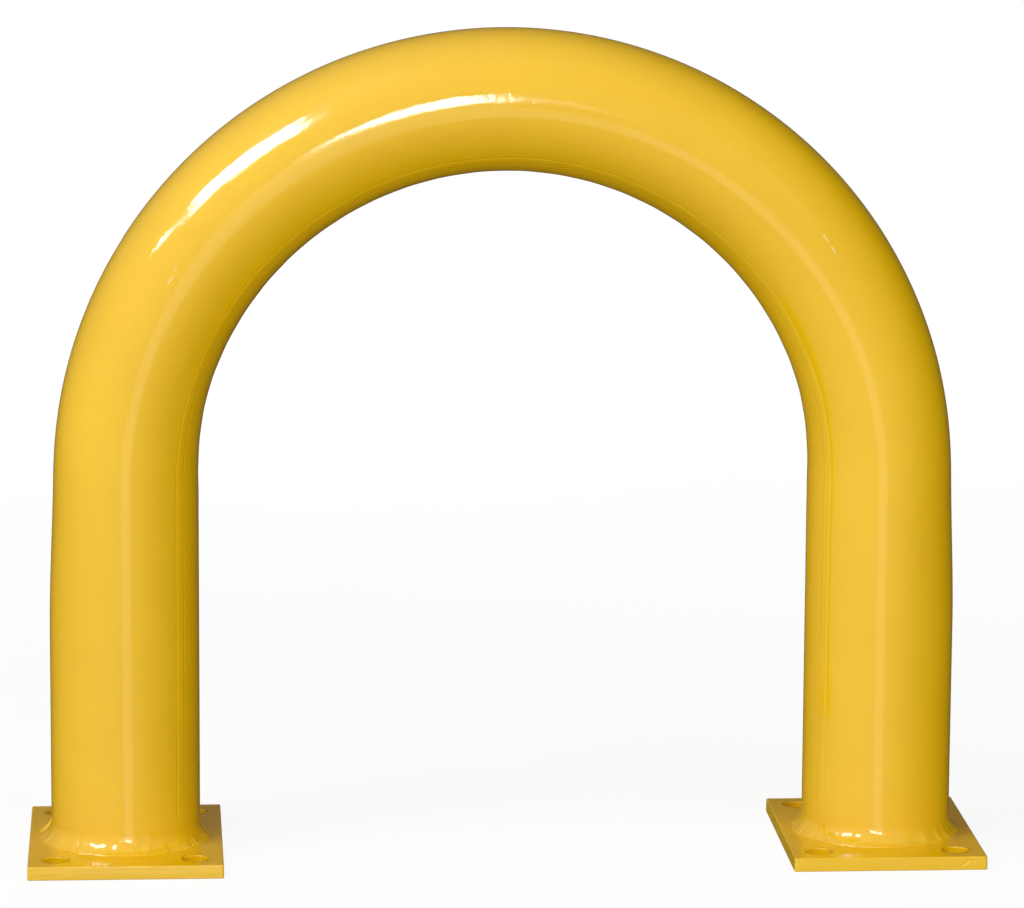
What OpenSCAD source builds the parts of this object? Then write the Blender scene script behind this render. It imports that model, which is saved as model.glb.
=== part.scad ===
// Hoop safety bollard: one bent steel tube welded to two drilled base plates.
// Stands on Z = 0 with the hoop in the XZ plane and the legs at equal distances
// either side of the origin. Millimetres.

/* [Hoop tube] */
// Outside diameter of the tube
tube_od = 108; // [88:1:120]
// Wall thickness of the tube
tube_wall = 3.6; // [2.5:0.1:6]
// Distance between the centre lines of the two legs
leg_spacing = 550; // [420:5:640]
// Height from the ground to the top of the hoop
overall_h = 600; // [480:5:1200]

/* [Base plates] */
// Size of a plate along the line of the hoop
plate_x = 140; // [136:1:180]
// Size of a plate across the line of the hoop
plate_y = 180; // [160:1:240]
// Thickness of a plate
plate_t = 10; // [6:0.5:15]
// Radius on the upright corners of a plate
corner_r = 1.5; // [0.5:0.5:6]
// Bevel that softens the sheared top and bottom edges
edge_c = 0.8; // [0.2:0.1:1.5]
// Diameter of the hole in the plate that drains and vents the tube
vent_d = 12; // [8:1:20]

/* [Anchor holes] */
// Diameter of each anchor hole
hole_d = 18; // [10:1:18]
// Distance between hole centres along the line of the hoop
hole_dx = 100; // [100:1:104]
// Distance between hole centres across the line of the hoop
hole_dy = 140; // [136:1:140]
// Bevel round the top rim of each hole, left by deburring
hole_c = 0.6; // [0.2:0.1:1]

/* [Fillet welds] */
// Leg length of the all-round fillet weld
weld_leg = 8; // [4:0.5:9]
// How far the weld's face stands proud of a straight face
weld_crown = 0.7; // [0:0.1:1.5]

/* [Hidden] */
$fn = 96;
COAT = [0.93, 0.72, 0.10];
COAT_WELD = [0.90, 0.68, 0.09];
tube_r = tube_od / 2;
bore_r = tube_r - tube_wall;
leg_x = leg_spacing / 2;
// the bend is one half turn, so its radius is half the leg spacing
bend_r = leg_spacing / 2;
bend_z = overall_h - tube_r - bend_r;
leg_h = bend_z - plate_t;

// Cross-section of the tube wall, centred on the tube's own centre line.
module tube_section() {
    difference() {
        circle(r = tube_r);
        circle(r = bore_r);
    }
}

// One straight leg, standing on its plate's top face.
module leg(side) {
    translate([side * leg_x, 0, plate_t])
        linear_extrude(height = leg_h)
            tube_section();
}

// The half-turn bend that joins the tops of both legs.
module bend() {
    translate([0, 0, bend_z])
        rotate([90, 0, 0])
            rotate_extrude(angle = 180)
                translate([bend_r, 0])
                    tube_section();
}

module hoop_tube() {
    color(COAT)
        union() {
            leg(-1);
            bend();
            leg(1);
        }
}

// Rectangle with true-arc corners, centred on the origin.
module rounded_rect(x, y, r) {
    square([x - 2 * r, y], center = true);
    square([x, y - 2 * r], center = true);
    for (sx = [-1, 1], sy = [-1, 1])
        translate([sx * (x / 2 - r), sy * (y / 2 - r)])
            circle(r = r);
}

// A wedge that takes the sharp arris off one long edge of a plate.
// The edge runs along Y through the origin, and the plate lies on -X and -Z.
module edge_wedge(length) {
    rotate([90, 0, 0])
        translate([0, 0, -length / 2])
            linear_extrude(height = length)
                polygon([[-edge_c, 1], [-edge_c, 0], [0, -edge_c], [1, -edge_c], [1, 1]]);
}

// Straight anchor hole with a deburred top rim, on the Z axis.
module anchor_hole() {
    translate([0, 0, -1])
        cylinder(h = plate_t + 2, d = hole_d);
    translate([0, 0, plate_t - hole_c])
        cylinder(h = hole_c + 0.5, r1 = hole_d / 2, r2 = hole_d / 2 + hole_c + 0.5);
}

// One drilled base plate, centred on its leg.
module base_plate(side) {
    translate([side * leg_x, 0, 0])
        difference() {
            linear_extrude(height = plate_t)
                rounded_rect(plate_x, plate_y, corner_r);
            for (a = [0, 180], flip = [0, 1]) {
                rotate([0, 0, a])
                    translate([plate_x / 2, 0, flip ? 0 : plate_t])
                        mirror([0, 0, flip])
                            edge_wedge(plate_y + 2);
                rotate([0, 0, a + 90])
                    translate([plate_y / 2, 0, flip ? 0 : plate_t])
                        mirror([0, 0, flip])
                            edge_wedge(plate_x + 2);
            }
            for (sx = [-1, 1], sy = [-1, 1])
                translate([sx * hole_dx / 2, sy * hole_dy / 2, 0])
                    anchor_hole();
            translate([0, 0, -1])
                cylinder(h = plate_t + 2, d = vent_d);
        }
}

module left_base_plate() {
    color(COAT) base_plate(-1);
}

module right_base_plate() {
    color(COAT) base_plate(1);
}

// Half-section of the fillet: root at the tube wall, a slightly crowned face
// from the plate toe to the tube toe. u runs from 0 at the plate toe to 1.
function weld_face(u) =
    let (bulge = weld_crown * 4 * u * (1 - u) / sqrt(2))
        [tube_r + weld_leg * (1 - u) + bulge, weld_leg * u + bulge];

module fillet_weld(side) {
    steps = 6;
    translate([side * leg_x, 0, plate_t])
        rotate_extrude()
            polygon(concat([[tube_r, 0]], [for (i = [0 : steps]) weld_face(i / steps)]));
}

module left_base_weld() {
    color(COAT_WELD) fillet_weld(-1);
}

module right_base_weld() {
    color(COAT_WELD) fillet_weld(1);
}

hoop_tube();
left_base_plate();
right_base_plate();
left_base_weld();
right_base_weld();
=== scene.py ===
import math

import bpy
import numpy as np
from mathutils import Matrix, Vector
from mathutils.geometry import delaunay_2d_cdt


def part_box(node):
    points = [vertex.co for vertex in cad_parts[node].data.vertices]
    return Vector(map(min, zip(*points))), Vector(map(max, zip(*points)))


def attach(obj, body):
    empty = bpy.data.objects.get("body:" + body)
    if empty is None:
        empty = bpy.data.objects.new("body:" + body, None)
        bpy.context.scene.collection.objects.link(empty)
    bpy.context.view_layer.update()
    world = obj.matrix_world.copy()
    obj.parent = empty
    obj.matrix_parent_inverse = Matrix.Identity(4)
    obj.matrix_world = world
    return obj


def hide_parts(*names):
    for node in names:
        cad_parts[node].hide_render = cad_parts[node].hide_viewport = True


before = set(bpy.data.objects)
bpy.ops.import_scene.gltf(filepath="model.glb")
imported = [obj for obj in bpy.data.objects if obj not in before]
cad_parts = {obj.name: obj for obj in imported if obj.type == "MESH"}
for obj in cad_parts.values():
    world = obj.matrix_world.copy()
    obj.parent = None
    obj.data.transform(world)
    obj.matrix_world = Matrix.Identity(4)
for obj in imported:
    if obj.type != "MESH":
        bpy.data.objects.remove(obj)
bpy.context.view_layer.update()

TAU = 2 * math.pi
scene = bpy.context.scene
scene.view_settings.view_transform = "Standard"
scene.view_settings.look = "None"
scene.view_settings.exposure = 0.0
scene.view_settings.gamma = 1.0

# ---------------------------------------------------------------- sizes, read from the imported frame
tube_lo, tube_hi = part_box("hoop_tube")
lp_lo, lp_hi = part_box("left_base_plate")
rp_lo, rp_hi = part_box("right_base_plate")
lw_lo, lw_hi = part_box("left_base_weld")
LEG_X = (rp_lo.x + rp_hi.x) / 2
PLATE_T = lp_hi.z
PLATE_HX = (lp_hi.x - lp_lo.x) / 2
PLATE_HY = (lp_hi.y - lp_lo.y) / 2
TOP_Z = tube_hi.z
TUBE_R = round((tube_hi.x - LEG_X) * 1e4) / 1e4
WALL = 0.0036
WELD_LEG = lw_hi.z - PLATE_T
HOLE_R, HOLE_DX, HOLE_DY, VENT_R = 0.009, 0.050, 0.070, 0.006


# ---------------------------------------------------------------- smooth deterministic noise
def _hash(ix, iy, iz, seed):
    h = (ix * 374761393 + iy * 668265263 + iz * 2147483647 + seed * 974711) & 0xFFFFFFFF
    h = ((h ^ (h >> 13)) * 1274126177) & 0xFFFFFFFF
    h = (h ^ (h >> 16)) & 0xFFFFFFFF
    return h.astype(np.float64) / 4294967295.0 * 2 - 1


def vnoise(p, seed=0):
    """Value noise from -1 to 1 at the points p (n, 3), with C2 blending."""
    p = np.asarray(p, float)
    i = np.floor(p).astype(np.int64)
    f = p - i
    w = f * f * f * (f * (f * 6 - 15) + 10)
    out = 0
    for dx in (0, 1):
        for dy in (0, 1):
            for dz in (0, 1):
                k = (
                    np.where(dx, w[..., 0], 1 - w[..., 0])
                    * np.where(dy, w[..., 1], 1 - w[..., 1])
                    * np.where(dz, w[..., 2], 1 - w[..., 2])
                )
                out = out + k * _hash(i[..., 0] + dx, i[..., 1] + dy, i[..., 2] + dz, seed)
    return out


def fbm(p, octaves=3, seed=0):
    p = np.asarray(p, float)
    total, amp, norm = 0, 1.0, 0
    for o in range(octaves):
        total = total + amp * vnoise(p * 2**o, seed + 17 * o)
        norm += amp
        amp *= 0.5
    return total / norm


def smooth(t):
    t = np.clip(t, 0, 1)
    return t * t * (3 - 2 * t)


def make_object(name, verts, faces, materials, face_mats=None, uv=None):
    mesh = bpy.data.meshes.new(name)
    mesh.from_pydata([tuple(v) for v in verts], [], [tuple(int(i) for i in f) for f in faces])
    mesh.update()
    for m in materials:
        mesh.materials.append(m)
    if face_mats is not None:
        mesh.polygons.foreach_set("material_index", np.asarray(face_mats, np.int32))
    mesh.polygons.foreach_set("use_smooth", np.ones(len(mesh.polygons), bool))
    mesh.update()
    obj = bpy.data.objects.new(name, mesh)
    scene.collection.objects.link(obj)
    return obj


def ring_faces(a, b, closed=True):
    """Quads between two index rings, wound so that a -> b is up the surface and the ring runs counter-clockwise seen from outside."""
    n = len(a)
    last = n if closed else n - 1
    return [(a[i], a[(i + 1) % n], b[(i + 1) % n], b[i]) for i in range(last)]


# ---------------------------------------------------------------- materials
def node_material(name):
    mat = bpy.data.materials.new(name)
    mat.use_nodes = True
    nt = mat.node_tree
    nt.nodes.clear()
    out = nt.nodes.new("ShaderNodeOutputMaterial")
    bsdf = nt.nodes.new("ShaderNodeBsdfPrincipled")
    nt.links.new(bsdf.outputs["BSDF"], out.inputs["Surface"])
    return mat, nt, bsdf


def new(nt, kind, **props):
    n = nt.nodes.new(kind)
    for k, v in props.items():
        setattr(n, k, v)
    return n


def noise_tex(nt, vector, scale, detail=2.0, rough=0.5, w=None, kind="3D"):
    n = new(nt, "ShaderNodeTexNoise", noise_dimensions="4D" if w is not None else kind)
    n.inputs["Scale"].default_value = scale
    n.inputs["Detail"].default_value = detail
    n.inputs["Roughness"].default_value = rough
    if w is not None:
        n.inputs["W"].default_value = w
    nt.links.new(vector, n.inputs["Vector"])
    return n.outputs["Fac"]


def ramp(nt, value, stops, interp="LINEAR"):
    r = new(nt, "ShaderNodeValToRGB")
    r.color_ramp.interpolation = interp
    els = r.color_ramp.elements
    while len(els) < len(stops):
        els.new(0.5)
    for e, (pos, col) in zip(els, stops):
        e.position = pos
        e.color = (*col, 1) if len(col) == 3 else col
    nt.links.new(value, r.inputs["Fac"])
    return r.outputs["Color"]


def math_node(nt, op, a, b=None, c=None, clamp=False):
    n = new(nt, "ShaderNodeMath", operation=op, use_clamp=clamp)
    for i, v in enumerate((a, b, c)):
        if v is None:
            continue
        if isinstance(v, (int, float)):
            n.inputs[i].default_value = v
        else:
            nt.links.new(v, n.inputs[i])
    return n.outputs[0]


def map_range(nt, value, lo, hi, a, b, kind="LINEAR"):
    n = new(nt, "ShaderNodeMapRange", interpolation_type=kind)
    nt.links.new(value, n.inputs["Value"])
    for key, v in (("From Min", lo), ("From Max", hi), ("To Min", a), ("To Max", b)):
        n.inputs[key].default_value = v
    return n.outputs["Result"]


def mix_color(nt, fac, a, b, mode="MIX"):
    n = new(nt, "ShaderNodeMix", data_type="RGBA", blend_type=mode)
    for socket, v in (("Factor", fac), ("A", a), ("B", b)):
        sock = [s for s in n.inputs if s.name == socket and (s.type == "RGBA" or socket == "Factor" and s.type == "VALUE")][0]
        if isinstance(v, tuple):
            sock.default_value = (*v, 1)
        elif isinstance(v, (int, float)):
            sock.default_value = v
        else:
            nt.links.new(v, sock)
    return [s for s in n.outputs if s.type == "RGBA"][0]


BASE = (0.855, 0.512, 0.0030)
DEEP = (0.795, 0.455, 0.0015)
PALE = (0.880, 0.538, 0.0060)


def coat_material(name, seed, rough=0.11, peel=1.0, wave=1.0, nib=1.0, scratches=(), streak=0.0):
    """Glossy yellow powder coat: orange peel at two scales, sparse dust nibs, faint colour drift, soft handling marks."""
    mat, nt, bsdf = node_material(name)
    coord = new(nt, "ShaderNodeTexCoord").outputs["Object"]

    # colour: slow drift in film thickness, finer mottling, and a hint of darker coat in the pores
    drift = noise_tex(nt, coord, 9.0, 3.0, 0.55, w=seed)
    mottle = noise_tex(nt, coord, 85.0, 3.0, 0.6, w=seed + 3.1)
    col = mix_color(nt, map_range(nt, drift, 0.32, 0.68, 0.0, 1.0), DEEP, PALE)
    col = mix_color(nt, 0.55, col, BASE)
    col = mix_color(nt, map_range(nt, mottle, 0.35, 0.7, 0.0, 0.14), col, DEEP)

    # relief, in metres of height
    fine = noise_tex(nt, coord, 620.0, 2.0, 0.55, w=seed + 7.7)
    slow = noise_tex(nt, coord, 170.0, 1.5, 0.5, w=seed + 9.2)
    mid = noise_tex(nt, coord, 330.0, 1.0, 0.5, w=seed + 8.4)
    height = math_node(nt, "MULTIPLY", fine, 0.55 * peel)
    height = math_node(nt, "MULTIPLY_ADD", mid, 1.1 * peel, height)
    height = math_node(nt, "MULTIPLY_ADD", slow, 1.8 * wave, height)

    # dust nibs under the coat: sparse small domes
    vor = new(nt, "ShaderNodeTexVoronoi", voronoi_dimensions="4D", feature="F1")
    vor.inputs["Scale"].default_value = 75.0
    vor.inputs["W"].default_value = seed
    nt.links.new(coord, vor.inputs["Vector"])
    sep = new(nt, "ShaderNodeSeparateColor")
    nt.links.new(vor.outputs["Color"], sep.inputs["Color"])
    few = math_node(nt, "GREATER_THAN", sep.outputs[0], 0.80)
    dome = map_range(nt, vor.outputs["Distance"], 0.0, 0.055, 1.0, 0.0, "SMOOTHSTEP")
    nibs = math_node(nt, "MULTIPLY", few, dome)
    height = math_node(nt, "MULTIPLY_ADD", nibs, 1.6 * nib, height)

    # broad wiping marks that only show in the gloss
    stretch = new(nt, "ShaderNodeMapping")
    stretch.inputs["Scale"].default_value = (1.0, 1.0, 0.25)
    stretch.inputs["Rotation"].default_value = (0.3, 0.5, 0.2)
    nt.links.new(coord, stretch.inputs["Vector"])
    wipe = noise_tex(nt, stretch.outputs["Vector"], 46.0, 4.0, 0.65, w=seed + 1.3)
    r = map_range(nt, wipe, 0.40, 0.72, rough, rough + 0.07)
    r = math_node(nt, "MULTIPLY_ADD", nibs, 0.12, r)

    mark = None
    for (p0, p1, half) in scratches:
        # distance from the point to a short segment on the surface
        a, b = Vector(p0), Vector(p1)
        ab = b - a
        sub = new(nt, "ShaderNodeVectorMath", operation="SUBTRACT")
        nt.links.new(coord, sub.inputs[0])
        sub.inputs[1].default_value = a
        dot = new(nt, "ShaderNodeVectorMath", operation="DOT_PRODUCT")
        nt.links.new(sub.outputs[0], dot.inputs[0])
        dot.inputs[1].default_value = ab / ab.length_squared
        t = math_node(nt, "MAXIMUM", math_node(nt, "MINIMUM", dot.outputs["Value"], 1.0), 0.0)
        sc = new(nt, "ShaderNodeVectorMath", operation="SCALE")
        sc.inputs[0].default_value = ab
        nt.links.new(t, sc.inputs["Scale"])
        dist = new(nt, "ShaderNodeVectorMath", operation="DISTANCE")
        nt.links.new(sub.outputs[0], dist.inputs[0])
        nt.links.new(sc.outputs[0], dist.inputs[1])
        m = map_range(nt, dist.outputs["Value"], half * 0.35, half, 1.0, 0.0, "SMOOTHSTEP")
        # thins out towards both ends and breaks up along its length
        taper = map_range(nt, math_node(nt, "ABSOLUTE", math_node(nt, "SUBTRACT", t, 0.5)), 0.2, 0.5, 1.0, 0.0, "SMOOTHSTEP")
        m = math_node(nt, "MULTIPLY", m, taper)
        mark = m if mark is None else math_node(nt, "MAXIMUM", mark, m)
    if mark is not None:
        brk = map_range(nt, noise_tex(nt, coord, 420.0, 2.0, 0.6, w=seed + 5.0), 0.35, 0.55, 0.25, 1.0)
        mark = math_node(nt, "MULTIPLY", mark, brk)
        height = math_node(nt, "MULTIPLY_ADD", mark, -2.2, height)
        r = math_node(nt, "MULTIPLY_ADD", mark, 0.30, r)
        col = mix_color(nt, math_node(nt, "MULTIPLY", mark, 0.75), col, (0.93, 0.72, 0.30))

    bump = new(nt, "ShaderNodeBump")
    bump.inputs["Strength"].default_value = 1.0
    bump.inputs["Distance"].default_value = 3.4e-5
    nt.links.new(height, bump.inputs["Height"])
    nt.links.new(bump.outputs["Normal"], bsdf.inputs["Normal"])
    nt.links.new(col, bsdf.inputs["Base Color"])
    nt.links.new(r, bsdf.inputs["Roughness"])
    bsdf.inputs["IOR"].default_value = 1.5
    bsdf.inputs["Specular IOR Level"].default_value = 0.5
    return mat


def bare_steel(name):
    """Mill-finish tube bore with thin rust bloom, seen only through the drain hole."""
    mat, nt, bsdf = node_material(name)
    coord = new(nt, "ShaderNodeTexCoord").outputs["Object"]
    n1 = noise_tex(nt, coord, 60.0, 5.0, 0.65)
    n2 = noise_tex(nt, coord, 400.0, 3.0, 0.6)
    rust = map_range(nt, n1, 0.52, 0.70, 0.0, 1.0)
    col = mix_color(nt, rust, (0.10, 0.095, 0.09), (0.20, 0.085, 0.035))
    nt.links.new(col, bsdf.inputs["Base Color"])
    nt.links.new(map_range(nt, n2, 0.3, 0.7, 0.45, 0.8), bsdf.inputs["Roughness"])
    bump = new(nt, "ShaderNodeBump")
    bump.inputs["Distance"].default_value = 5e-5
    nt.links.new(math_node(nt, "ADD", n1, n2), bump.inputs["Height"])
    nt.links.new(bump.outputs["Normal"], bsdf.inputs["Normal"])
    bsdf.inputs["Metallic"].default_value = 0.6
    return mat


# ---------------------------------------------------------------- hoop
FLAT = 0.0036  # how far the outer wall draws in round the bend
FLAT_IN = 0.0020  # and the inner wall
BEND_Z = TOP_Z - (LEG_X + TUBE_R - FLAT)
LEG_LEN = BEND_Z - PLATE_T
ARC = math.pi * LEG_X
LENGTH = 2 * LEG_LEN + ARC


def bend_weight(s):
    d = np.minimum(s, LENGTH - s)
    return smooth((d - (LEG_LEN - 0.110)) / 0.130)


def inner_weight(s):
    """The inner wall only starts to draw in past the tangent points."""
    d = np.minimum(s, LENGTH - s)
    return smooth((d - (LEG_LEN - 0.015)) / 0.110)


def centreline(s):
    """Centre points and in-plane outward directions at the stations s."""
    s = np.asarray(s, float)
    c = np.zeros((len(s), 3))
    n = np.zeros((len(s), 3))
    left, right = s < LEG_LEN, s > LEG_LEN + ARC
    mid = ~(left | right)
    c[left] = np.stack([np.full(left.sum(), -LEG_X), np.zeros(left.sum()), PLATE_T + s[left]], 1)
    n[left] = (-1, 0, 0)
    c[right] = np.stack([np.full(right.sum(), LEG_X), np.zeros(right.sum()), PLATE_T + LENGTH - s[right]], 1)
    n[right] = (1, 0, 0)
    th = math.pi - (s[mid] - LEG_LEN) / LEG_X
    n[mid] = np.stack([np.cos(th), np.zeros(mid.sum()), np.sin(th)], 1)
    c[mid] = n[mid] * LEG_X + np.array([0, 0, BEND_Z])
    return c, n


def seam_angle(s):
    """Where the tube's long weld seam lies, from the outward direction round past the front."""
    psi = np.interp(s / LENGTH, [0, 0.25, 0.5, 0.75, 1.0], [48.0, 48.5, 50.5, 54.0, 56.5])
    return np.radians(90 + psi)


def section(v, w, w_in, scale=1.0):
    """In-plane and frontward offsets of the tube wall at angle v, where w is how fully the tube is bent."""
    cv, sv = np.cos(v), np.sin(v)
    x = TUBE_R * cv - FLAT * w * np.clip(cv, 0, None) ** 3 + FLAT_IN * w_in * np.clip(-cv, 0, None) ** 3
    y = (TUBE_R + 0.0010 * w) * sv
    return x * scale, y * scale


def build_hoop(coat, steel):
    s = np.concatenate([
        np.linspace(0, LEG_LEN - 0.12, 34, endpoint=False),
        np.linspace(LEG_LEN - 0.12, LEG_LEN + 0.03, 42, endpoint=False),
        np.linspace(LEG_LEN + 0.03, LENGTH - LEG_LEN - 0.03, 224, endpoint=False),
        np.linspace(LENGTH - LEG_LEN - 0.03, LENGTH - LEG_LEN + 0.12, 42, endpoint=False),
        np.linspace(LENGTH - LEG_LEN + 0.12, LENGTH, 35),
    ])
    # columns: offsets in metres round the wall from the seam's middle, fine across the seam
    fine = np.concatenate([np.linspace(-0.0068, 0.0068, 35)])
    rest = np.linspace(0.0068, TAU * TUBE_R - 0.0068, 118)[1:-1]
    u = np.concatenate([fine, rest])
    c, n = centreline(s)
    w = bend_weight(s)
    vs = seam_angle(s)
    V = vs[:, None] + u[None, :] / TUBE_R
    W = np.repeat(w[:, None], len(u), 1)
    W_IN = np.repeat(inner_weight(s)[:, None], len(u), 1)
    X, Y = section(V, W, W_IN)
    N = n[:, None, :]
    P = c[:, None, :] + X[..., None] * N + Y[..., None] * np.array([0, -1.0, 0])
    # local outward normal of the section, good enough to push relief along
    D = X[..., None] * N + Y[..., None] * np.array([0, -1.0, 0])
    D /= np.linalg.norm(D, axis=2, keepdims=True)
    uu = np.where(u > math.pi * TUBE_R, u - TAU * TUBE_R, u)[None, :]
    S = s[:, None]
    # seam: a low scarfed band with a fine groove along each edge
    wob = 0.00022 * vnoise(np.stack([S / 0.045, S * 0, S * 0 + 3.3], -1), 5) + 0 * uu
    du = np.abs(uu - wob)
    band = 0.00014 * (1 - smooth((du - 0.0024) / 0.0012))
    groove = -0.00013 * np.exp(-(((du - 0.0039) / 0.00060) ** 2))
    chatter = 0.000010 * np.sin(TAU * S / 0.0085 + 40 * uu) * (1 - smooth((du - 0.0020) / 0.0012))
    # slow unevenness of drawn and bent tube
    q = P * 1000.0
    slow = 0.000030 * fbm(q / 62.0, 2, 11)
    inner = smooth((-np.cos(V) - 0.55) / 0.4) * W
    waves = 0.000055 * inner * np.sin(TAU * S / 0.031 + 1.4 * vnoise(np.stack([S / 0.09, S * 0, S * 0], -1), 21))
    # the slow relief and the inner-wall waves fade out near both ends of the tube
    fade_end = smooth(S / 0.02) * smooth((LENGTH - S) / 0.02)
    buried = smooth((np.minimum(s, LENGTH - s) - 0.012) / 0.010)[:, None]  # dressed flush where the fillet covers it
    P = P + D * ((band + groove + chatter) * buried + (slow + waves) * fade_end)[..., None]
    rows, cols = P.shape[:2]
    outer_idx = np.arange(rows * cols).reshape(rows, cols)
    verts = [P.reshape(-1, 3)]
    faces, mats = [], []
    for i in range(rows - 1):
        f = ring_faces(outer_idx[i], outer_idx[i + 1])
        faces += f
    mats += [0] * len(faces)
    # bore
    keep = sorted(set(list(range(0, rows, 4)) + [rows - 1]))
    Xi, Yi = section(V[keep], W[keep], W_IN[keep], (TUBE_R - WALL) / TUBE_R)
    Q = c[keep][:, None, :] + Xi[..., None] * n[keep][:, None, :] + Yi[..., None] * np.array([0, -1.0, 0])
    base = rows * cols
    inner_idx = base + np.arange(len(keep) * cols).reshape(len(keep), cols)
    verts.append(Q.reshape(-1, 3))
    for i in range(len(keep) - 1):
        f = ring_faces(inner_idx[i + 1], inner_idx[i])
        faces += f
        mats += [1] * len(f)
    f = ring_faces(inner_idx[0], outer_idx[0])
    faces += f
    mats += [1] * len(f)
    f = ring_faces(outer_idx[-1], inner_idx[-1])
    faces += f
    mats += [1] * len(f)
    obj = make_object("hoop_tube_coated", np.concatenate(verts), faces, [coat, steel], mats)
    return obj


# ---------------------------------------------------------------- plates
def rounded_rect_loop(hx, hy, r, step=0.0013, arc=6):
    """Base points and outward normals; a point at inset o is base + normal * (r - o)."""
    base, nrm = [], []
    corners = [(hx - r, hy - r, 0), (-hx + r, hy - r, 90), (-hx + r, -hy + r, 180), (hx - r, -hy + r, 270)]
    for k, (cx, cy, a0) in enumerate(corners):
        for j in range(arc + 1):
            a = math.radians(a0 + 90 * j / arc)
            base.append((cx, cy))
            nrm.append((math.cos(a), math.sin(a)))
        nx, ny, _ = corners[(k + 1) % 4]
        length = math.hypot(nx - cx, ny - cy)
        m = int(length / step)
        a = math.radians(a0 + 90)
        for j in range(1, m):
            t = j / m
            base.append((cx + (nx - cx) * t, cy + (ny - cy) * t))
            nrm.append((math.cos(a), math.sin(a)))
    return np.array(base), np.array(nrm)


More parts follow.
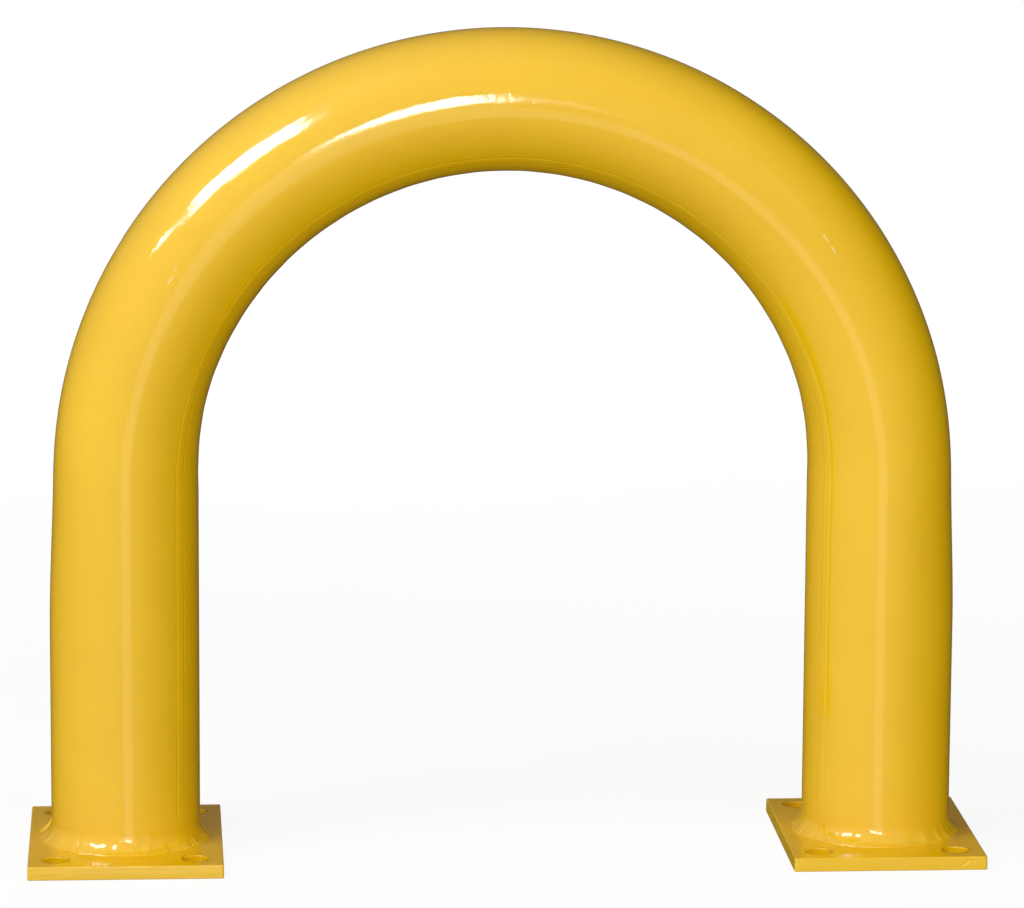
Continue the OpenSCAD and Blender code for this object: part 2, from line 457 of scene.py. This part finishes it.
def build_plate(name, cx, coat, seed, dents=()):
    T = PLATE_T
    e_top, e_bot, rc = 0.0010, 0.0007, 0.0014
    rim, rim_b = 0.0008, 0.0005
    base, nrm = rounded_rect_loop(PLATE_HX, PLATE_HY, rc)
    loops = []  # each: list of (points xy, z) rings from the top face to the underside

    def arc_rings(e, top):
        out = []
        for k in range(1, 6):
            a = math.pi / 2 * k / 5
            out.append((e * (1 - math.sin(a)), e * (1 - math.cos(a))))
        return out if top else [(o, z) for o, z in reversed(out)]

    def profile(e1, e2, sup=0.0005, n_wall=6):
        prof = [(e1 + sup, T), (e1, T)]
        prof += [(o, T - z) for o, z in arc_rings(e1, True)]
        z1, z2 = T - e1, e2
        for k in range(1, n_wall):
            t = k / n_wall
            t = 0.05 + 0.9 * (t - 1 / n_wall) / (1 - 2 / n_wall)
            prof.append((0.0, z1 + (z2 - z1) * t))
        prof += [(o, z) for o, z in arc_rings(e2, False)]
        prof += [(e2, 0.0), (e2 + sup, 0.0)]
        return prof

    verts = []
    faces = []

    def add(points):
        k = len(verts)
        verts.extend([tuple(p) for p in points])
        return np.arange(k, k + len(points))

    # outer side: shear-cut face with a slight roll and unevenness
    outer_rings = []
    for o, z in profile(e_top, e_bot, sup=0.0004, n_wall=15):
        xy = base + nrm * (rc - o)
        P = np.column_stack([xy, np.full(len(xy), z)])
        if 0 < z < T and o == 0.0:
            q = P * 1000
            bulge = 0.00006 * math.sin(math.pi * (z - e_bot) / (T - e_top - e_bot))
            rough = 0.00005 * fbm(np.column_stack([q[:, 0] / 9.0, q[:, 1] / 9.0, q[:, 2] / 2.4]), 3, seed)
            shear = -0.00007 * smooth((np.full(len(q), z) - 0.0052) / 0.0010) * (1 + 0.5 * vnoise(q / 14.0, seed + 3))
            dent = np.zeros(len(q))
            for x0, z0, x1, z1, wide, deep in dents:  # short knocks in the front face
                d = np.array([x1 - x0, z1 - z0])
                rel = np.column_stack([P[:, 0] - x0, np.full(len(q), z - z0)])
                t = np.clip(rel @ d / (d @ d), 0, 1)
                gap = np.hypot(*(rel - t[:, None] * d).T)
                dent -= deep * np.exp(-((gap / wide) ** 2)) * (P[:, 1] < -PLATE_HY + 0.002)
            P[:, :2] += nrm * (bulge + rough + shear + dent)[:, None]
        outer_rings.append(add(P))
    for a, b in zip(outer_rings[:-1], outer_rings[1:]):
        faces += ring_faces(b, a)

    hole_rings = []
    holes = [(sx * HOLE_DX, sy * HOLE_DY, HOLE_R, 56) for sx in (-1, 1) for sy in (-1, 1)] + [(0.0, 0.0, VENT_R, 40)]
    for hx, hy, hr, nseg in holes:
        ang = np.arange(nseg) / nseg * TAU
        d = np.column_stack([np.cos(ang), np.sin(ang)])
        rings = []
        for o, z in profile(rim, rim_b, n_wall=6):
            r = hr + o
            xy = np.array([hx, hy]) + d * r
            P = np.column_stack([xy, np.full(nseg, z)])
            if 0 < z < T and o == 0.0:
                P[:, :2] += d * (0.00003 * vnoise(P * 1000 / np.array([3.0, 3.0, 1.2]), seed + 9))[:, None]
            rings.append(add(P))
        hole_rings.append(rings)
        for a, b in zip(rings[:-1], rings[1:]):
            faces += ring_faces(a, b)

    V0 = np.array(verts)

    def cap(ring_ids, z, up, step):
        """Triangulates one flat face between the outer ring and the hole rings, with inner points so that it can carry relief."""
        ids = list(np.concatenate(ring_ids))
        pts = [Vector((V0[i][0], V0[i][1])) for i in ids]
        edges, k = [], 0
        for ring in ring_ids:
            m = len(ring)
            edges += [(k + j, k + (j + 1) % m) for j in range(m)]
            k += m
        gx = np.arange(-PLATE_HX + 0.004, PLATE_HX - 0.0035, step)
        gy = np.arange(-PLATE_HY + 0.004, PLATE_HY - 0.0035, step)
        extra = []
        for iy, y in enumerate(gy):
            for x in gx + (step / 2 if iy % 2 else 0):
                if abs(x) > PLATE_HX - 0.0035:
                    continue
                if all(math.hypot(x - h[0], y - h[1]) > h[2] + rim + 0.0018 for h in holes):
                    extra.append((x, y))
        pts += [Vector(p) for p in extra]
        out_v, _, out_f, orig_v, _, _ = delaunay_2d_cdt(pts, edges, [], 0, 1e-9, True)
        remap = {}
        for j, (co, src) in enumerate(zip(out_v, orig_v)):
            if src and src[0] < len(ids):
                remap[j] = ids[src[0]]
            else:
                x, y = co
                dz = 0.0
                if up:
                    q = np.array([[x * 1000, y * 1000, 0.0]])
                    edge = min(PLATE_HX - abs(x), PLATE_HY - abs(y))
                    dz = 0.00005 * float(fbm(q / 27.0, 2, seed + 31)[0]) * min(1.0, edge / 0.008)
                remap[j] = len(verts)
                verts.append((x, y, z + dz))
        for f in out_f:
            cxy = sum((Vector(out_v[i]) for i in f), Vector((0, 0))) / len(f)
            if any((cxy - Vector(h[:2])).length < h[2] + 0.0003 for h in holes):
                continue
            area = abs((out_v[f[1]] - out_v[f[0]]).cross(out_v[f[2]] - out_v[f[0]]))
            if area < 1e-13:
                continue
            a, b, c = (remap[i] for i in f)
            faces.append((a, b, c) if up else (a, c, b))

    cap([outer_rings[0]] + [r[0] for r in hole_rings], T, True, 0.0042)
    cap([outer_rings[-1]] + [r[-1] for r in hole_rings], 0.0, False, 0.008)
    V = np.array(verts)
    V[:, 0] += cx
    return make_object(name, V, faces, [coat])


# ---------------------------------------------------------------- welds
def build_weld(name, cx, coat, seed, lap_deg, pits, beads=()):
    """An all-round fillet: hollow face that runs softly up the tube, a raised uneven toe on the plate, and a start/stop lap at lap_deg."""
    cols = 1300
    th = np.arange(cols) / cols * TAU
    # stations: toe roll (0..n_roll), then the hollow face up to the tube
    n_roll, n_face = 7, 23
    rows = n_roll + n_face
    roll = np.linspace(-0.22, 1.10, n_roll, endpoint=False)
    face = np.linspace(0, 1, n_face)
    face = face + 0.10 * np.sin(math.pi * face) * (face - 0.5)
    TH = np.repeat(th[:, None], rows, 1)
    K = np.concatenate([np.zeros(n_roll), face])[None, :].repeat(cols, 0)  # 0 at the toe, 1 at the tube

    def ring_noise(scale, s):
        return vnoise(np.stack([np.cos(TH) * scale, np.sin(TH) * scale, TH * 0 + s], -1), seed + s)

    arc = TH * (TUBE_R + 0.004)
    lp = WELD_LEG + 0.0002 + 0.00060 * ring_noise(3.1, 1) + 0.00042 * ring_noise(8.5, 2) + 0.00020 * ring_noise(24.0, 8)
    lt = WELD_LEG + 0.0044 + 0.00060 * ring_noise(2.6, 3) + 0.00040 * ring_noise(7.0, 4)
    hr = 0.00080 + 0.00022 * ring_noise(11.0, 9)  # height of the toe
    ar = 0.00080
    A = lp - ar + ar * np.cos(1.10), hr * math.sin(1.10)
    # the end tangents of the face meet at the control point
    kx = 0.00045
    t0 = (A[0] - kx) / (ar * math.sin(1.10))
    kz = np.minimum(A[1] + t0 * hr * math.cos(1.10), 0.45 * lt)
    a = np.zeros((cols, rows))
    b = np.zeros((cols, rows))
    for j in range(rows):
        if j < n_roll:
            a[:, j] = lp[:, j] - ar + ar * math.cos(roll[j])
            b[:, j] = hr[:, j] * math.sin(roll[j])
        else:
            t = face[j - n_roll]
            a[:, j] = (1 - t) ** 2 * A[0][:, j] + 2 * t * (1 - t) * kx
            b[:, j] = (1 - t) ** 2 * A[1][:, j] + 2 * t * (1 - t) * kz[:, j] + t**2 * lt[:, j]
    # crescent ripples, lumps where the gun paused, and grain; none of it at the buried edges
    phase = arc / 0.0026 + 1.9 * (2 * K - 1) ** 2 + 1.5 * ring_noise(6.0, 6)
    window = np.clip(np.sin(math.pi * np.clip(K * 0.86 + 0.10, 0, 1)), 0, 1) ** 0.8
    rip = 0.000022 * (0.55 + 0.45 * ring_noise(5.0, 7)) * np.sin(TAU * phase)
    pts = np.stack([np.cos(TH) * 58 + 0 * a, np.sin(TH) * 58 + 0 * a, b * 1000], -1)
    lumps = 0.00016 * fbm(pts / 8.0, 2, seed + 40) + 0.00007 * fbm(pts / 2.4, 2, seed + 12)
    # start/stop lap: the last of the bead rides over the first and ends in a rounded lobe
    x = ((np.degrees(TH) - lap_deg + 180) % 360 - 180) * math.pi / 180 * (TUBE_R + 0.004)
    body = 0.0013 * smooth((x + 0.015) / 0.012) * (1 - smooth((x - 0.0) / 0.0015))
    edge = -0.00060 * np.exp(-(((x - 0.0026) / 0.0011) ** 2))
    crater = -0.0005 * np.exp(-(((x + 0.0035) / 0.0024) ** 2 + ((K - 0.5) / 0.22) ** 2))
    push = (rip + lumps + body + edge + crater) * window
    a = a + 0.0009 * smooth((x + 0.012) / 0.009) * (1 - smooth((x + 0.0005) / 0.0022)) * (1 - K)
    for deg, size, kk in pits:
        dx = ((np.degrees(TH) - deg + 180) % 360 - 180) * math.pi / 180 * (TUBE_R + 0.006)
        dk = (K - kk) * WELD_LEG * 1.3
        push = push - 0.00090 * np.exp(-((dx**2 + dk**2) / size**2))
    for deg, kk, wide, tall, high in beads:  # local swellings of the bead
        dx = ((np.degrees(TH) - deg + 180) % 360 - 180) * math.pi / 180 * (TUBE_R + 0.006)
        dk = (K - kk) * WELD_LEG * 1.3
        push = push + high * np.exp(-((dx / wide) ** 2 + (dk / tall) ** 2))
    # push along the face's own outward direction
    da, db = np.gradient(a, axis=1), np.gradient(b, axis=1)
    ln = np.hypot(da, db)
    na, nb = db / ln, -da / ln
    a = a + push * na
    b = b + push * nb
    a[:, -1] = -0.00018
    a[:, -2] = np.minimum(a[:, -2], 0.00010)
    R = TUBE_R + np.maximum(a, -0.00018)
    Z = PLATE_T + np.maximum(b, -0.00025)
    P = np.stack([cx + R * np.cos(TH), R * np.sin(TH), Z], -1)
    verts = [P.reshape(-1, 3)]
    idx = np.arange(cols * rows).reshape(cols, rows)
    faces = []
    for j in range(rows - 1):
        faces += ring_faces(idx[:, j], idx[:, j + 1])
    # hidden root faces: inside the tube wall and just under the plate's top
    hid = []
    for r_, z_ in ((TUBE_R - 0.0007, None), (TUBE_R - 0.0007, PLATE_T - 0.0007), (None, PLATE_T - 0.0007)):
        rr = R[:, 0] if r_ is None else np.full(cols, r_)
        zz = Z[:, -1] if z_ is None else np.full(cols, z_)
        hid.append(np.stack([cx + rr * np.cos(th), rr * np.sin(th), zz], -1))
    base = cols * rows
    h_idx = [base + k_ * cols + np.arange(cols) for k_ in range(3)]
    verts += hid
    faces += ring_faces(idx[:, -1], h_idx[0])
    faces += ring_faces(h_idx[0], h_idx[1])
    faces += ring_faces(h_idx[1], h_idx[2])
    faces += ring_faces(h_idx[2], idx[:, 0])
    return make_object(name, np.concatenate(verts), faces, [coat])


# ---------------------------------------------------------------- assemble
tube_coat = coat_material("tube_powder_coat", 1.0, rough=0.065, peel=1.15, wave=1.0, scratches=[
    ((-0.2435, -0.0540, 0.4230), (-0.2385, -0.0541, 0.4302), 0.0010),
    ((-0.2378, -0.0539, 0.4325), (-0.2364, -0.0537, 0.4365), 0.0012),
    ((0.2216, -0.0533, 0.4591), (0.2274, -0.0534, 0.4512), 0.0009),
    ((0.2279, -0.0534, 0.4505), (0.2325, -0.0535, 0.4433), 0.0007),
    ((-0.2242, -0.0474, 0.4769), (-0.2362, -0.0471, 0.4634), 0.0007),
])
plate_coat = coat_material("plate_powder_coat", 4.0, rough=0.13, peel=1.3, wave=1.6, nib=1.2)
weld_coat = coat_material("weld_powder_coat", 7.0, rough=0.10, peel=1.3, wave=1.8, nib=1.5)
steel_bore = bare_steel("tube_bore_steel")

hoop = build_hoop(tube_coat, steel_bore)
left_plate = build_plate("left_base_plate_coated", -LEG_X, plate_coat, 40)
right_plate = build_plate("right_base_plate_coated", LEG_X, plate_coat, 90,
                          dents=[(0.0515, 0.0032, 0.0530, 0.0046, 0.0008, 0.00035), (0.0545, 0.0058, 0.0560, 0.0074, 0.0008, 0.00040)])
left_weld = build_weld("left_base_weld_coated", -LEG_X, weld_coat, 7, 168.0,
                       [(-47.0, 0.00055, 0.06), (-43.5, 0.00045, 0.08), (-37.0, 0.00060, 0.08), (-30.0, 0.0004, 0.1), (20.0, 0.0005, 0.1)],
                       beads=[(-123.0, 0.22, 0.0034, 0.0024, 0.0010), (-71.0, 0.75, 0.0040, 0.0030, 0.00012), (-146.0, 0.45, 0.0045, 0.0030, 0.00035)])
right_weld = build_weld("right_base_weld_coated", LEG_X, weld_coat, 23, 72.0, [(-35.0, 0.0004, 0.1), (-22.0, 0.0005, 0.08), (150.0, 0.0005, 0.08)],
                        beads=[(-112.0, 0.22, 0.0034, 0.0024, 0.0010)])

for obj, node, slot in (
    (hoop, "hoop_tube", "tube_coat"),
    (left_plate, "left_base_plate", "plate_coat"),
    (right_plate, "right_base_plate", "plate_coat"),
    (left_weld, "left_base_weld", "weld_coat"),
    (right_weld, "right_base_weld", "weld_coat"),
):
    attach(obj, "root")
    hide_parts(node)

# ---------------------------------------------------------------- camera
cam_data = bpy.data.cameras.new("camera")
cam = bpy.data.objects.new("camera", cam_data)
scene.collection.objects.link(cam)
scene.camera = cam
yaw, pitch, roll = math.radians(3.97), math.radians(-10.27), math.radians(0.35)
fwd = Vector((math.sin(yaw) * math.cos(pitch), math.cos(yaw) * math.cos(pitch), math.sin(pitch)))
right = Vector((math.cos(yaw), -math.sin(yaw), 0))
up = right.cross(fwd)
r2 = right * math.cos(roll) + up * math.sin(roll)
u2 = up * math.cos(roll) - right * math.sin(roll)
cam.matrix_world = Matrix((
    (r2.x, u2.x, -fwd.x, -0.2573),
    (r2.y, u2.y, -fwd.y, -3.7879),
    (r2.z, u2.z, -fwd.z, 0.9787),
    (0, 0, 0, 1),
))
cam_data.sensor_width = 36.0
cam_data.lens = 5331.0 / 1024 * 36
cam_data.clip_start, cam_data.clip_end = 0.05, 200
cam_data.dof.use_dof = False

# ---------------------------------------------------------------- floor
fm, fnt, fb = node_material("floor_pale")
fcoord = new(fnt, "ShaderNodeTexCoord").outputs["Object"]
fn = noise_tex(fnt, fcoord, 1.3, 3.0, 0.5)
fnt.links.new(mix_color(fnt, map_range(fnt, fn, 0.3, 0.7, 0, 1), (0.11, 0.11, 0.11), (0.13, 0.13, 0.13)), fb.inputs["Base Color"])
fb.inputs["Roughness"].default_value = 0.9
fb.inputs["Specular IOR Level"].default_value = 0.0
fb.inputs["Emission Color"].default_value = (1, 1, 1, 1)
# the studio lamps fade with distance, so the floor's own glow makes up for it further out
f_far = new(fnt, "ShaderNodeVectorMath")
f_far.operation = "LENGTH"
fnt.links.new(fcoord, f_far.inputs[0])
fnt.links.new(map_range(fnt, f_far.outputs["Value"], 0.7, 2.6, 0.90, 0.97), fb.inputs["Emission Strength"])
floor_mesh = bpy.data.meshes.new("studio_floor")
floor_mesh.from_pydata([(-60, -60, 0), (60, -60, 0), (60, 60, 0), (-60, 60, 0)], [], [(0, 1, 2, 3)])
floor_mesh.materials.append(fm)
floor = bpy.data.objects.new("studio_floor", floor_mesh)
floor.location.z = -0.0004
scene.collection.objects.link(floor)
floor.visible_glossy = False
floor.visible_diffuse = False
floor.visible_shadow = False


# ---------------------------------------------------------------- lights
def area(name, target, loc, size_x, size_y, power, roll_deg=0.0, color=(1, 1, 1), glossy=True, spread=180.0):
    ld = bpy.data.lights.new(name, "AREA")
    ld.shape = "RECTANGLE"
    ld.size, ld.size_y = size_x, size_y
    ld.energy = power
    ld.color = color
    ld.spread = math.radians(spread)
    lo = bpy.data.objects.new(name, ld)
    scene.collection.objects.link(lo)
    d = (Vector(target) - Vector(loc)).normalized()
    q = d.to_track_quat("-Z", "Y")
    lo.matrix_world = Matrix.Translation(loc) @ q.to_matrix().to_4x4() @ Matrix.Rotation(math.radians(roll_deg), 4, "Z")
    lo.visible_camera = False
    lo.visible_glossy = glossy
    return lo


def watts(radiance, sx, sy):
    """Power of a flat rectangle that shines with this radiance."""
    return radiance * math.pi * sx * sy


def direction(az, el):
    """Unit vector towards a lamp: azimuth 0 is the front, positive to the right."""
    a_, e_ = math.radians(az), math.radians(el)
    return Vector((math.sin(a_) * math.cos(e_), -math.cos(a_) * math.cos(e_), math.sin(e_)))


HUB = Vector((0, 0, 0.3))
# broad softboxes that model the form and lay the soft shadows
for name, az, el, level in (("left_softbox", -60, 45, 0.88), ("top_left_softbox", -45, 65, 0.62), ("right_softbox", 30, 20, 0.60),
                                ("rear_softbox", 180, 3, 0.62)):
    area(name, HUB, HUB + direction(az, el) * 3.2, 1.0, 1.0, level * math.pi * 3.2**2, glossy=False)


def gloss_light(name, target, loc, sx, sy, radiance, roll_deg):
    """A window or lamp that is only seen mirrored in the coat."""
    lo_ = area(name, target, loc, sx, sy, watts(radiance, sx, sy), roll_deg)
    lo_.visible_diffuse = False
    return lo_


def pane(name, spot, way, dist, tilt_deg, box, radiance):
    """One rectangle of a window: box is (a0, a1, b0, b1) in the window's own plane, whose centre is dist along way from spot."""
    way = Vector(way).normalized()
    mid = spot + way * dist
    right = Vector((0, 0, 1)).cross(way).normalized()
    up = way.cross(right)
    c_, s_ = math.cos(math.radians(tilt_deg)), math.sin(math.radians(tilt_deg))
    e1 = right * c_ + up * s_
    e2 = up * c_ - right * s_
    a0, a1, b0, b1 = box
    where = mid + e1 * (a0 + a1) / 2 + e2 * (b0 + b1) / 2
    lo_ = gloss_light(name, where - way, where, a1 - a0, b1 - b0, radiance, tilt_deg)
    return lo_


bend_spot = Vector((-0.19, -0.05, 0.50))
crown_spot = Vector((0.0, -0.055, 0.554))
# upper-left skylight, mirrored along the left bend
sky = (-0.576, -0.537, 0.616)
for k, (a0, a1, b0, b1) in enumerate(((-0.70, -0.60, 0.26, 0.56), (-0.60, -0.50, -0.06, 0.60), (-0.50, 0.0, -0.38, 0.61), (0.0, 0.50, -0.54, 0.55), (0.50, 0.64, -0.60, 0.02))):
    pane("skylight_%d" % k, bend_spot, sky, 2.9, 41.0, (a0, a1, b0, b1), 27.0)
pane("skylight_end", bend_spot, sky, 2.9, 0.0, (-1.14, -0.66, -0.65, -0.47), 24.0)
pane("skylight_link", bend_spot, sky, 2.9, 0.0, (-0.66, -0.36, -0.58, -0.34), 3.5)
# window behind the camera, mirrored along the crown and in the welds
front = (-0.055, -3.735, 0.39)
reach = 1.217 * Vector(front).length
pane("front_window", crown_spot, front, reach, 54.0, (-0.30, 0.55, 0.02, 0.34), 30.0)
pane("front_window_left", crown_spot, front, reach, 54.0, (-0.42, -0.18, 0.29, 0.35), 12.0)
pane("front_window_mid", crown_spot, front, reach, 54.0, (-0.33, 0.28, -0.26, 0.02), 30.0)
pane("front_window_right", crown_spot, front, reach, 54.0, (-0.33, 0.03, -0.46, -0.26), 26.0)
pane("front_window_tail", crown_spot, front, reach, 20.0, (0.36, 0.62, -0.60, -0.05), 1.5)
for name, a0, a1, level in (("front_strip", -0.76, 0.12, 0.95), ("front_strip_core", -0.60, -0.08, 1.45)):
    pane(name, crown_spot, (0.16, -3.9, -0.654), 3.95, 14.0, (a0, a1, -0.95, 0.95), level)

world = bpy.data.worlds.new("studio_world")
scene.world = world
world.use_nodes = True
wt = world.node_tree
wt.nodes.clear()
w_out = new(wt, "ShaderNodeOutputWorld")
w_mix = new(wt, "ShaderNodeMixShader")
bg_cam = new(wt, "ShaderNodeBackground")
bg_light = new(wt, "ShaderNodeBackground")
bg_cam.inputs["Color"].default_value = (1, 1, 1, 1)
bg_cam.inputs["Strength"].default_value = 1.0
ray = new(wt, "ShaderNodeLightPath")
wt.links.new(ray.outputs["Is Camera Ray"], w_mix.inputs[0])
wt.links.new(bg_light.outputs[0], w_mix.inputs[1])
wt.links.new(bg_cam.outputs[0], w_mix.inputs[2])
wt.links.new(w_mix.outputs[0], w_out.inputs[0])

# broad soft sky, the sum of a few wide lobes: front, left and a little from below, dim behind;
# the coat's mirror image sees a calmer room than the one that lights it
geo = new(wt, "ShaderNodeTexCoord").outputs["Generated"]


def sky_sum(lobes, power, floor_level):
    total = None
    for az, el, level in lobes:
        dn = new(wt, "ShaderNodeVectorMath", operation="DOT_PRODUCT")
        wt.links.new(geo, dn.inputs[0])
        dn.inputs[1].default_value = direction(az, el)
        lobe = math_node(wt, "POWER", math_node(wt, "MAXIMUM", dn.outputs["Value"], 0.0), power)
        total = math_node(wt, "MULTIPLY_ADD", lobe, level, floor_level if total is None else total)
    return total


lit = sky_sum(((0, 8, 1.47), (-110, 8, 0.84), (-60, -40, 0.90), (70, 8, 0.30)), 4.0, 0.02)
back = sky_sum(((180, 10, 0.07),), 10.0, 0.0)
seen = sky_sum(((-90, 30, 0.36), (-90, 60, 0.73), (-60, 0, 0.41), (-30, -30, 0.30), (-30, 0, 0.33), (0, 0, 0.19), (0, 60, 0.79), (30, 0, 0.31)), 2.0, 0.015)
is_gloss = ray.outputs["Is Glossy Ray"]
blend = new(wt, "ShaderNodeMix", data_type="FLOAT")
wt.links.new(is_gloss, blend.inputs[0])
wt.links.new(lit, blend.inputs[2])
wt.links.new(math_node(wt, "ADD", seen, back), blend.inputs[3])
bg_light.inputs["Color"].default_value = (1, 1, 1, 1)
wt.links.new(blend.outputs[0], bg_light.inputs["Strength"])
